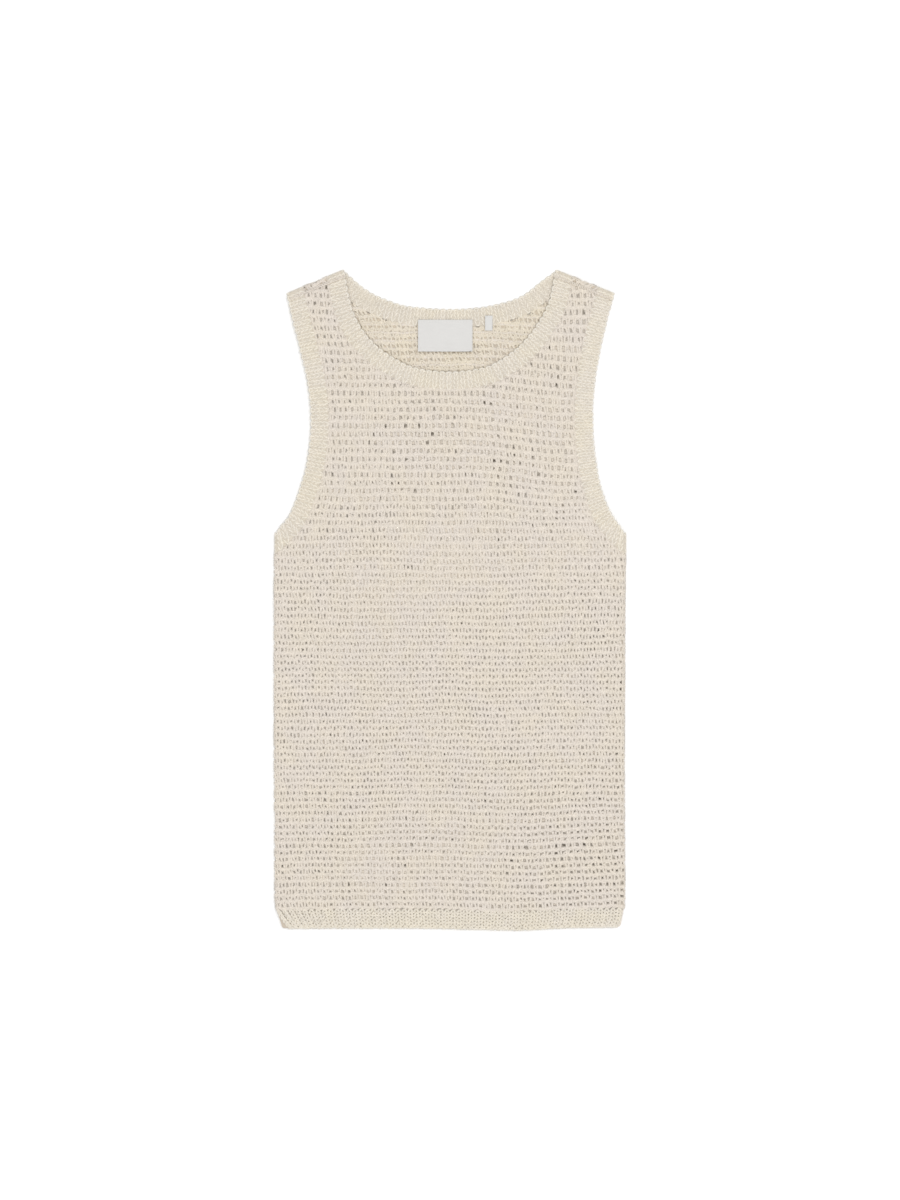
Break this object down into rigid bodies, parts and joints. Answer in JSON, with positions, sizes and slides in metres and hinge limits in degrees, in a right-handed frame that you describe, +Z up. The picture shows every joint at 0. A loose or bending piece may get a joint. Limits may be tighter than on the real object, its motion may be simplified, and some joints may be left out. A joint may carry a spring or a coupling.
{
  "type": "knit tank top",
  "caption": "Sleeveless openwork knit top in cream yarn, laid flat on its back, with ribbed bands at the neck and armholes and a bare label inside the back neck.",
  "frame": {"origin": "bottom centre of the bounding box, on the back panel's underside", "axes": "+Y from the hem to the neck, +Z up out of the front panel, +X to the right of the picture, which is the wearer's left"},
  "size_m": [0.338, 0.6324, 0.0057],
  "materials": {
    "cream_knit": "soft matt yarn in an openwork knit",
    "label_tape": "flat woven tape with a faint sheen"
  },
  "bodies": {
    "root": {"front_panel": "cream_knit", "back_panel": "cream_knit", "neckband": "cream_knit", "armhole_band_left": "cream_knit", "armhole_band_right": "cream_knit", "main_label": "label_tape", "size_label": "label_tape"}
  },
  "joints": []
}
